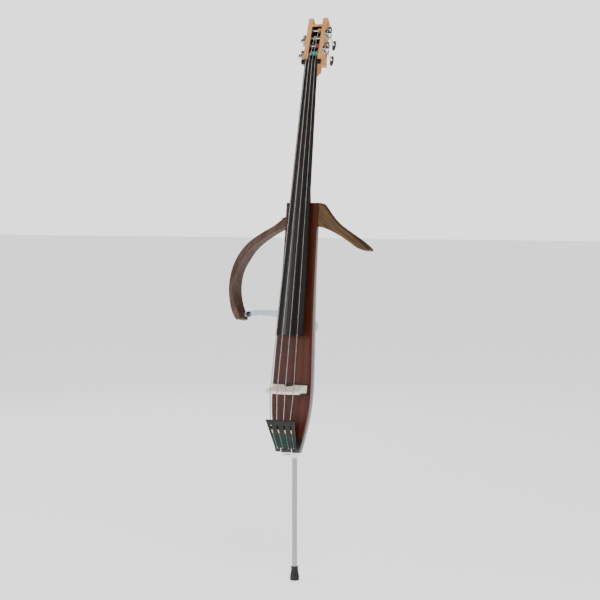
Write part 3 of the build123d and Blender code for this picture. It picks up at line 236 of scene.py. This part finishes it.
def turned(profile, foot, way, steps=48, wobble=None):
    """Solid turned on a lathe: profile is (distance along, radius) in millimetres, foot a point, way its
    axis.
    wobble gives a change of radius for a distance along and an angle."""
    build = bmesh.new()
    way = Vector(way).normalized()
    spin = way.to_track_quat("Z", "Y").to_matrix()
    rings = []
    for along, radius in profile:
        ring = []
        for step in range(steps):
            angle = 2 * math.pi * step / steps
            reach = radius + (wobble(along, angle) if wobble else 0.0)
            offset = spin @ Vector((math.cos(angle) * reach, math.sin(angle) * reach, along))
            ring.append(build.verts.new(foot + offset * MM))
        rings.append(ring)
    for low, high in zip(rings, rings[1:]):
        for step in range(steps):
            follow = (step + 1) % steps
            build.faces.new((low[step], low[follow], high[follow], high[step]))
    build.faces.new(list(reversed(rings[0])))
    build.faces.new(rings[-1])
    return build


def cross_screw(name, foot, way, radius, material, body, slots=2, slot_deep=0.45):
    """Domed screw head with its driver slots cut in."""
    way = Vector(way).normalized()
    height = radius * 0.5
    build = turned([(-0.2, radius), (height * 0.35, radius), (height * 0.75, radius * 0.86),
                    (height, radius * 0.55), (height * 1.05, radius * 0.1)], foot, way, 32)
    spin = way.to_track_quat("Z", "Y").to_matrix()
    for vertex in build.verts:
        local = spin.transposed() @ (vertex.co - foot) / MM
        for slot_number in range(slots):
            angle = math.pi * slot_number / slots
            off = abs(local.x * math.sin(angle) - local.y * math.cos(angle))
            along = abs(local.x * math.cos(angle) + local.y * math.sin(angle))
            if off < radius * 0.12 and along < radius * 0.7 and local.z > height * 0.7:
                vertex.co -= way * radius * slot_deep * MM
    return mesh_piece(name, build, material, body)


screw_steel = metal("screw_steel", (0.46, 0.46, 0.47), 0.26)
BACK = Vector((0, math.cos(BODY_LEAN), -math.sin(BODY_LEAN)))
DOWN = Vector((0, -math.sin(BODY_LEAN), -math.cos(BODY_LEAN)))
for side in (-1, 1):
    cross_screw("cap_screw_" + ("left" if side < 0 else "right"), on_body(side * 26, 0, -26), DOWN, 3.2,
                screw_steel, "main")

# ---- endpin ----
# Chromed collar let into the foot, a polished steel tube that slides in it, a wing screw that clamps the
# tube, and a rubber tip pushed on the end.
chrome = metal("chrome_plate", (0.80, 0.80, 0.81), 0.10)
tube_steel = metal("tube_steel", (0.40, 0.385, 0.36), 0.2, (900, 900, 5))
dress(chrome, "endpin_collar", "endpin_screw")
dress(tube_steel, "endpin_tube")
soften(0.6, "endpin_screw")
soften(0.5, "endpin_collar")

tip_rubber = black_moulding("tip_rubber", 0.62, 700.0, 0.35)
tip_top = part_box("endpin_tip")[1][2] / MM
TIP_RIBS, TIP_RIB_DEEP = 5, 0.5


def ribbed(along, angle):
    """Shallow grip ribs round the middle of the tip."""
    low, high = tip_top * 0.35, tip_top * 0.85
    if not low < along < high:
        return 0.0
    return -TIP_RIB_DEEP * (0.5 - 0.5 * math.cos(2 * math.pi * TIP_RIBS * (along - low) / (high - low)))


tip_profile = [(0, 0.5), (0, 12.3), (0.6, 13.6), (3, 14.4)]
for step in range(1, 46):
    along = 3 + (tip_top - 6) * step / 45
    share = min(1, max(0, (along - 8) / (tip_top - 16)))
    tip_profile.append((along, 14.4 - 3.4 * share * share * (3 - 2 * share)))
tip_profile += [(tip_top - 1.4, 11), (tip_top - 0.4, 10.4), (tip_top, 9.2), (tip_top, 8.1)]
rubber_tip = mesh_piece("rubber_tip", turned(tip_profile, Vector((0, 0, 0)), (0, 0, 1), 64, ribbed),
                        tip_rubber, "endpin")
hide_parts("endpin_tip")

# ---- neck, fingerboard and nut ----
# Maple neck with its heel glued into the body and a chin behind the nut, in satin varnish. The arched
# board and the nut are ebony, oiled and rubbed to a dull shine.
BOARD_LEAN = math.radians(10.8)
maple = wood("maple_varnish", [(0.42, 0.170, 0.050), (0.56, 0.255, 0.088), (0.66, 0.335, 0.130)], 0.30,
             lean=BOARD_LEAN, coat=0.25, pores=0.00006, fibre=500, figure=45, figure_length=6)
ebony = wood("ebony_oiled", [(0.006, 0.005, 0.005), (0.011, 0.009, 0.0085), (0.020, 0.016, 0.014)], 0.30,
             lean=BOARD_LEAN, pores=0.00008, fibre=620, figure=60, figure_length=2)
dress(maple, "neck")
dress(ebony, "fingerboard", "nut")
soften(0.6, "neck", "fingerboard", "nut")

# ---- pegbox ----
# Open box of maple: two thick cheeks, a thin back wall and a crossbar, cut from the neck's own block.
BOX_LEAN = math.radians(20.1)
box_maple = wood("pegbox_maple", [(0.44, 0.185, 0.062), (0.58, 0.275, 0.108), (0.68, 0.355, 0.155)], 0.32,
                 lean=BOX_LEAN, coat=0.2, pores=0.00006, fibre=480, figure=55, figure_length=8)


def paint_slot_shade(material, foot, lean, half_width, length):
    """Painted shade inside the box: a dark brown laid between the cheeks, up to the crossbar. Sizes in
    metres.
    """
    nodes = material.node_tree.nodes
    links = material.node_tree.links
    shader = nodes["Principled BSDF"]
    place = nodes.new("ShaderNodeTexCoord")
    box_way = nodes.new("ShaderNodeMapping")
    box_way.vector_type = "TEXTURE"
    box_way.inputs["Location"].default_value = foot
    box_way.inputs["Rotation"].default_value = (-lean, 0, 0)
    links.new(place.outputs["Object"], box_way.inputs["Vector"])
    split = nodes.new("ShaderNodeSeparateXYZ")
    links.new(box_way.outputs["Vector"], split.inputs["Vector"])
    aside = nodes.new("ShaderNodeMath")
    aside.operation = "ABSOLUTE"
    links.new(split.outputs["X"], aside.inputs[0])
    shares = []
    walls = [(aside.outputs["Value"], half_width, 0.0004),
             (split.outputs["Z"], length, 0.0006),
             (split.outputs["Y"], -0.0008, -0.001)]
    for socket, edge, soft in walls:
        shares.append(between(nodes, links, socket, 1.0, 0.0, edge, edge + soft))
    both = nodes.new("ShaderNodeMath")
    both.operation = "MULTIPLY"
    links.new(shares[0], both.inputs[0])
    links.new(shares[1], both.inputs[1])
    deep = nodes.new("ShaderNodeMath")
    deep.operation = "MULTIPLY"
    links.new(both.outputs["Value"], deep.inputs[0])
    links.new(shares[2], deep.inputs[1])
    # painted shade: near-black brown laid over the maple inside the slot, where the recess falls into shadow
    painted_shade = nodes.new("ShaderNodeMix")
    painted_shade.data_type = "RGBA"
    painted_shade.inputs["B"].default_value = (0.018, 0.009, 0.006, 1)
    links.new(deep.outputs["Value"], painted_shade.inputs["Factor"])
    links.new(shader.inputs["Base Color"].links[0].from_socket, painted_shade.inputs["A"])
    links.new(painted_shade.outputs["Result"], shader.inputs["Base Color"])


BOX_FOOT = (0, 0.130, 1.608)
SLOT_HALF, SLOT_LENGTH = 16.4 * MM, 110.5 * MM
# the inside of the slot is painted dark as shade
paint_slot_shade(box_maple, BOX_FOOT, BOX_LEAN, SLOT_HALF, SLOT_LENGTH)
dress(box_maple, "pegbox")
soften(0.9, "pegbox")

# ---- machine heads ----
# Four single worm-gear machines, two on each cheek: a plate with two ears, a cut wheel on the string post,
# a worm on the key's shaft and a leaf-shaped key. All of it is plated, and polished where it shows.
gear_plate = metal("gear_plate", (0.74, 0.71, 0.64), 0.2)
dress(chrome, *[f"{kind}_{number}" for kind in ("post", "key", "machine_plate") for number in range(1, 5)])
dress(gear_plate, *[f"gear_{number}" for number in range(1, 5)])
dress(screw_steel, "machine_screws")
for number in range(1, 5):
    soften(0.35, f"post_{number}", f"machine_plate_{number}", f"gear_{number}")
    soften(0.9, f"key_{number}")
soften(0.4, "machine_screws")

joint_of = {joint["name"]: joint for joint in frame["record"]["behaviour"]["joints"]}
WORM_RADIUS, WORM_ROOT, WORM_HALF, THREAD_PITCH = 5.4, 4.1, 8.0, 3.4
SHAFT_RADIUS, SHAFT_BACK, SHAFT_FRONT = 2.35, 13.0, 42.0


def thread(along, angle):
    """Cut of a one-start worm thread: rounded crest and root, running out at both ends."""
    if abs(along) > WORM_HALF - 0.05:
        return 0.0
    turn = (along / THREAD_PITCH - angle / (2 * math.pi)) % 1.0
    cut = min(1.0, max(0.0, 0.5 + 1.1 * math.cos(2 * math.pi * turn)))
    fade = min(1.0, (WORM_HALF - abs(along)) / 1.2)
    return -(WORM_RADIUS - WORM_ROOT) * cut * fade


for number in range(1, 5):
    hinge = joint_of[f"key_{number}_turn"]
    profile = [(-SHAFT_BACK, 1.9), (0.4 - SHAFT_BACK, SHAFT_RADIUS), (-WORM_HALF - 0.05, SHAFT_RADIUS)]
    profile += [(-WORM_HALF + step * 2 * WORM_HALF / 64, WORM_RADIUS) for step in range(65)]
    profile += [(WORM_HALF + 0.05, SHAFT_RADIUS), (SHAFT_FRONT, SHAFT_RADIUS)]
    turning = turned(profile, Vector(hinge["pos_m"]), hinge["axis"], 40, thread)
    worm = mesh_piece(f"cut_worm_{number}", turning,
                      chrome, f"key_{number}", 50)
    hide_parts(f"worm_{number}")

# ---- strings ----
# Four steel-wound strings from the tailpiece over bridge and nut to the posts. Each tail end is lapped with
# dark teal silk, and the turns on each post are in the string's own silk colour.
def wound(name, colour, pitch, roughness=0.34):
    """String lapped with flat ribbon: fine rings along it."""
    material, nodes, links, shader = new_finish(name, roughness, 1.0, colour)
    rings = nodes.new("ShaderNodeTexWave")
    rings.wave_type = "BANDS"
    rings.bands_direction = "Z"
    rings.inputs["Scale"].default_value = pitch
    rings.inputs["Distortion"].default_value = 0.2
    links.new(stretched(nodes, links, (1, 1, 1), BOARD_LEAN), rings.inputs["Vector"])
    dark = tuple(value * 0.55 for value in colour)
    links.new(shades(nodes, links, rings.outputs["Fac"], [(0.1, dark), (0.6, colour)]),
              shader.inputs["Base Color"])
    relief(nodes, links, shader, rings.outputs["Fac"], 0.00015, 0.6)
    return material


def silk(name, colour):
    """Coloured silk thread, lapped tight round the string."""
    material, nodes, links, shader = new_finish(name, 0.62)
    threads = cloud(nodes, links, stretched(nodes, links, (700, 700, 3200)), 3, 0.6)
    dark = tuple(value * 0.5 for value in colour)
    links.new(shades(nodes, links, threads, [(0.35, dark), (0.62, colour)]), shader.inputs["Base Color"])
    relief(nodes, links, shader, threads, 0.0003, 0.6)
    shader.inputs["Sheen Weight"].default_value = 0.4
    return material


string_metal = wound("string_winding", (0.62, 0.58, 0.53), 900)
STRINGS = {"e": (1, 1.4), "a": (3, 1.15), "d": (4, 0.95), "g": (2, 0.8)}      # post and radius
SILKS = {"e": ("silk_teal", (0.015, 0.50, 0.38)), "a": ("silk_yellow", (0.74, 0.52, 0.09)),
         "d": ("silk_gold", (0.66, 0.34, 0.05)), "g": ("silk_red", (0.50, 0.010, 0.03))}
TAIL_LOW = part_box("tailpiece")[0][2]
TAIL_SLOPE = math.radians(33.5 - 8.1)
TAIL_FOOT = on_body(0, 12, 13)
TAIL_OUT = Vector((0, -math.cos(TAIL_SLOPE), -math.sin(TAIL_SLOPE)))
BALL_FOOT = TAIL_FOOT.z + 54.5 * MM * math.cos(TAIL_SLOPE)
tail_silk = silk("tail_silk_thread", (0.008, 0.22, 0.15))
ball_brass = metal("ball_brass", (0.80, 0.50, 0.16), 0.3)


def lapping(name, node, low, high, grow, material):
    """Silk on a stretch of a string: the string's own outline between two heights, a little thicker."""
    build = bmesh.new()
    build.from_mesh(frame["nodes"][node].data)
    for height, below in ((low, True), (high, False)):
        bmesh.ops.bisect_plane(build, geom=build.verts[:] + build.edges[:] + build.faces[:], dist=1e-7,
                               plane_co=(0, 0, height), plane_no=(0, 0, 1), clear_inner=below,
                               clear_outer=not below)
    # the stretch behind the tailpiece stays bare
    bmesh.ops.bisect_plane(build, geom=build.verts[:] + build.edges[:] + build.faces[:], dist=1e-7,
                           plane_co=TAIL_FOOT - TAIL_OUT * 3.2 * MM, plane_no=TAIL_OUT, clear_inner=True)
    build.normal_update()
    for vertex in build.verts:
        vertex.co += vertex.normal * grow * MM
    ends = [edge for edge in build.edges if edge.is_boundary]
    bmesh.ops.holes_fill(build, edges=ends, sides=0)
    piece = mesh_piece(name, build, material, "main", 60)
    return piece


for letter, (post, radius) in STRINGS.items():
    dress(string_metal, f"string_{letter}")
    slot_name, colour = SILKS[letter]
    lap = silk(slot_name + "_thread", colour)
    lapping(f"tail_silk_{letter}", f"string_{letter}", TAIL_LOW + 2 * MM, BALL_FOOT, 0.22, tail_silk)
    lapping(f"ball_sleeve_{letter}", f"string_{letter}", BALL_FOOT, BALL_FOOT + 13 * MM, 0.12, ball_brass)
    # turns on the post: each a full round of the string
    low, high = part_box(f"winding_{post}")
    turns = max(3, int((high[0] - low[0]) / (2 * radius * MM)))
    width = (high[0] - low[0]) / MM
    middle = Vector((low[0], (low[1] + high[1]) / 2, (low[2] + high[2]) / 2))
    profile = []
    for step in range(turns * 12 + 1):
        along = width * step / (turns * 12)
        profile.append((along, 5.15 + 1.4 * abs(math.sin(math.pi * turns * along / width)) ** 0.6))
    coil = mesh_piece(f"post_turns_{letter}", turned(profile, middle, (1, 0, 0), 40), lap, f"post_{post}", 70)
    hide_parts(f"winding_{post}")

# ---- bridge ----
# Bleached maple bridge on two feet, cut with a waist and openwork. A thin pickup strip lies under each foot,
# on a black moulded base screwed to the body.
bridge_maple = wood("bridge_bleached", [(0.66, 0.52, 0.38), (0.84, 0.73, 0.59), (0.92, 0.84, 0.72)], 0.5,
                    pores=0.0003, fibre=650, figure=160, figure_length=90)
base_black = black_moulding("base_black", 0.42, 600.0, 0.4)
dress(bridge_maple, "bridge")
soften(0.7, "bridge")
dress(base_black, "bridge_base")
pickup_film = black_moulding("pickup_film", 0.5, 400.0, 0.4, (0.12, 0.07, 0.02))
dress(pickup_film, "bridge_pickup")
BASE_TOP, BASE_SCREW_RIGHT, BASE_SCREW_UP = 4.0, 12.0, 192.0
for side in (-1, 1):
    label = "left" if side < 0 else "right"
    cross_screw(f"base_screw_{label}", on_body(side * BASE_SCREW_RIGHT, BASE_SCREW_UP, BASE_TOP),
                -BACK, 2.2, screw_steel, "main")

# ---- tailpiece ----
# Black lacquered plate with a keyhole and a groove for each string, on a loop of steel wire that runs under
# the end cap and round the endpin's collar.
tail_black = black_moulding("tail_lacquer", 0.3, 300.0, 0.25, (0.006, 0.006, 0.0065))
dress(tail_black, "tailpiece")
soften(0.8, "tailpiece")
dress(chrome, "tail_wire")

# ---- arms ----
# Two bowed arms of walnut, rubbed with oil and left matte, each with a tongue that goes into a pocket in the
# body's side. A thumb bolt from behind holds each tongue.
walnut = wood("walnut_left", [(0.040, 0.018, 0.011), (0.082, 0.041, 0.027), (0.125, 0.068, 0.047)], 0.55,
              lean=BODY_LEAN, turn=math.radians(-22), pores=0.0004, fibre=330, figure=60, figure_length=7)
RIGHT_TONES = [(0.036, 0.0170, 0.0060), (0.078, 0.0400, 0.0135), (0.130, 0.0710, 0.0240)]
walnut_right = wood("walnut_right", RIGHT_TONES, 0.50, lean=BODY_LEAN, turn=math.radians(52), pores=0.0004,
                    fibre=330, figure=60, figure_length=7)
knob_black = black_moulding("knob_black", 0.46)
dress(walnut, "left_arm")
dress(walnut_right, "right_arm")
soften(1.2, "left_arm", "right_arm")
dress(knob_black, "left_arm_bolt", "right_arm_bolt")
soften(0.8, "left_arm_bolt", "right_arm_bolt")
for side in ("left", "right"):
    hinge = joint_of[f"{side}_arm_bolt_turn"]
    centre = Vector(hinge["pos_m"])
    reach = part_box(f"{side}_arm_bolt")[1][1] - centre.y
    insert = turned([(-0.5, 4.2), (0.6, 4.2), (0.9, 3.8), (0.9, 2.4), (-0.3, 2.2)],
                    centre + BACK * (reach / math.cos(BODY_LEAN) - 10 * math.tan(BODY_LEAN) * MM), BACK, 40)
    cap = mesh_piece(f"{side}_bolt_insert", insert, screw_steel, f"{side}_arm_bolt")

# ---- rest bar ----
# Bar of clear acrylic, bent in a corner and polished, that rests against the player. A black thumb knob
# clamps it to the left arm's lower end.
acrylic, nodes, links, shader = new_finish("clear_acrylic", 0.08, 0.0, (0.62, 0.78, 0.88))
scuffs = cloud(nodes, links, stretched(nodes, links, (60, 60, 220)), 5, 0.7)
links.new(between(nodes, links, scuffs, 0.03, 0.13), shader.inputs["Roughness"])
relief(nodes, links, shader, scuffs, 0.00004, 0.3)
shader.inputs["Transmission Weight"].default_value = 0.72
shader.inputs["IOR"].default_value = 1.49
dress(acrylic, "rest_bar")
soften(0.8, "rest_bar")
dress(knob_black, "rest_knob")
soften(0.3, "rest_knob")
knob_low, knob_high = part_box("rest_knob")
knob_face = Vector((knob_high[0], (knob_low[1] + knob_high[1]) / 2, (knob_low[2] + knob_high[2]) / 2))
cap = mesh_piece("rest_knob_insert", turned([(-0.5, 4.6), (0.5, 4.6), (0.9, 4.2), (0.9, 2.6), (-0.4, 2.2)],
                                            knob_face, (1, 0, 0), 40), screw_steel, "rest_knob")

# ---- controls ----
# Black moulded panel let into the back, with two dials, a nickelled output jack and a hinged door over the
# battery. The circuit and its two potentiometers are behind the panel.
panel_black = black_moulding("panel_black", 0.5, 1100.0, 0.4)
jack_nickel = metal("jack_nickel", (0.70, 0.68, 0.64), 0.2)
board_green = black_moulding("board_green", 0.35, 300.0, 0.5, (0.006, 0.06, 0.022))
battery_sleeve = black_moulding("battery_sleeve", 0.3, 250.0, 0.5, (0.02, 0.022, 0.03))
dress(panel_black, "control_plate", "battery_door")
dress(knob_black, "volume_knob", "tone_knob")
dress(jack_nickel, "output_jack")
dress(board_green, "circuit_board")
dress(battery_sleeve, "battery")
soften(0.4, "control_plate", "battery_door", "volume_knob", "tone_knob", "output_jack", "battery")
PANEL_OUT, PANEL_MIDDLE, PANEL_SCREW_RIGHT, PANEL_SCREW_UP = -84.0, 330.0, 19.5, 61.0
for number, (across_way, up_way) in enumerate([(-1, -1), (1, -1), (-1, 1), (1, 1)], 1):
    cross_screw(f"panel_screw_{number}",
                on_body(across_way * PANEL_SCREW_RIGHT, PANEL_MIDDLE + up_way * PANEL_SCREW_UP, PANEL_OUT),
                BACK, 1.9, screw_steel, "main")
pointer_white, nodes, links, shader = new_finish("pointer_white", 0.5, 0.0, (0.75, 0.75, 0.72))
chalk = cloud(nodes, links, stretched(nodes, links, (800, 800, 800)), 3)
links.new(shades(nodes, links, chalk, [(0.3, (0.6, 0.6, 0.57)), (0.6, (0.78, 0.78, 0.75))]),
          shader.inputs["Base Color"])
POINTER_WIDTH, POINTER_LENGTH, POINTER_RISE, POINTER_OUT = 0.9 * MM, 4.2 * MM, 0.5 * MM, 4.4 * MM
DIAL_FACE = 8.3 * MM
for dial in ("volume", "tone"):
    hinge = joint_of[f"{dial}_turn"]
    face = Vector(hinge["pos_m"]) + BACK * DIAL_FACE
    build = bmesh.new()
    bmesh.ops.create_cube(build, size=1.0)
    spin = BACK.to_track_quat("Z", "Y").to_matrix().to_4x4()
    size = Matrix.Diagonal((POINTER_WIDTH, POINTER_LENGTH, POINTER_RISE, 1))
    shape = Matrix.Translation(face - DOWN * POINTER_OUT) @ spin @ size
    build.transform(shape)
    bmesh.ops.bevel(build, geom=build.edges[:], offset=0.1 * MM, segments=2, affect="EDGES")
    pointer = mesh_piece(f"{dial}_pointer", build, pointer_white, dial)

# ---- floor, light and camera ----
# Plain pale floor that glows faintly, three large soft boxes and an even pale surround. The camera stands
# a little to the right of the front, at the height of the body.
paper, nodes, links, shader = new_finish("backdrop_paper", 0.9, 0.0, (0.95, 0.95, 0.95))
shader.inputs["Emission Color"].default_value = (1, 1, 1, 1)
shader.inputs["Emission Strength"].default_value = 1.0
shader.inputs["Specular IOR Level"].default_value = 0.0
FLOOR_REACH = 40.0
build = bmesh.new()
bmesh.ops.create_grid(build, x_segments=2, y_segments=2, size=FLOOR_REACH)
mesh = bpy.data.meshes.new("floor")
build.to_mesh(mesh)
build.free()
mesh.materials.append(paper)
floor = bpy.data.objects.new("floor", mesh)
bpy.context.scene.collection.objects.link(floor)

# the paper behind is lit brighter than the room the gloss pieces mirror, as in any studio
SEEN, ROOM, MIRRORED = 2.0, 0.45, 0.08
surround = bpy.data.worlds.new("studio")
surround.use_nodes = True
room_nodes = surround.node_tree.nodes
room_links = surround.node_tree.links
room_light = room_nodes["Background"]
room_light.inputs["Color"].default_value = (1, 1, 1, 1)
ray = room_nodes.new("ShaderNodeLightPath")
mirror = room_nodes.new("ShaderNodeMix")
mirror.inputs["A"].default_value = ROOM
mirror.inputs["B"].default_value = MIRRORED
room_links.new(ray.outputs["Is Glossy Ray"], mirror.inputs["Factor"])
seen = room_nodes.new("ShaderNodeMix")
seen.inputs["B"].default_value = SEEN
room_links.new(ray.outputs["Is Camera Ray"], seen.inputs["Factor"])
room_links.new(mirror.outputs["Result"], seen.inputs["A"])
clear = room_nodes.new("ShaderNodeMix")
clear.inputs["B"].default_value = SEEN
room_links.new(ray.outputs["Is Transmission Ray"], clear.inputs["Factor"])
room_links.new(seen.outputs["Result"], clear.inputs["A"])
room_links.new(clear.outputs["Result"], room_light.inputs["Strength"])
bpy.context.scene.world = surround


def soft_box(name, place, aim, width, height, watts):
    """Large rectangular lamp that faces a point."""
    lamp = bpy.data.lights.new(name, "AREA")
    lamp.shape = "RECTANGLE"
    lamp.size = width
    lamp.size_y = height
    lamp.energy = watts
    holder = bpy.data.objects.new(name, lamp)
    holder.location = place
    holder.rotation_euler = (Vector(aim) - Vector(place)).to_track_quat("-Z", "Y").to_euler()
    bpy.context.scene.collection.objects.link(holder)


soft_box("key_box", (-3.3, -3.6, 1.5), (0, 0, 0.85), 1.6, 2.6, 105)
soft_box("top_box", (1.6, -2.0, 3.8), (0, 0, 0.9), 2.0, 2.0, 85)
soft_box("back_box", (-2.6, 3.2, 2.8), (0, 0, 0.9), 2.0, 2.0, 40)

lens = bpy.data.cameras.new("lens")
lens.sensor_width = 36.0
lens.angle = math.radians(21.583)
camera = bpy.data.objects.new("camera", lens)
camera.location = (2.0286, -4.3503, 1.1720)
camera.rotation_euler = (math.radians(90 - 3.635), 0, math.radians(25 - 0.2))
bpy.context.scene.collection.objects.link(camera)
bpy.context.scene.camera = camera
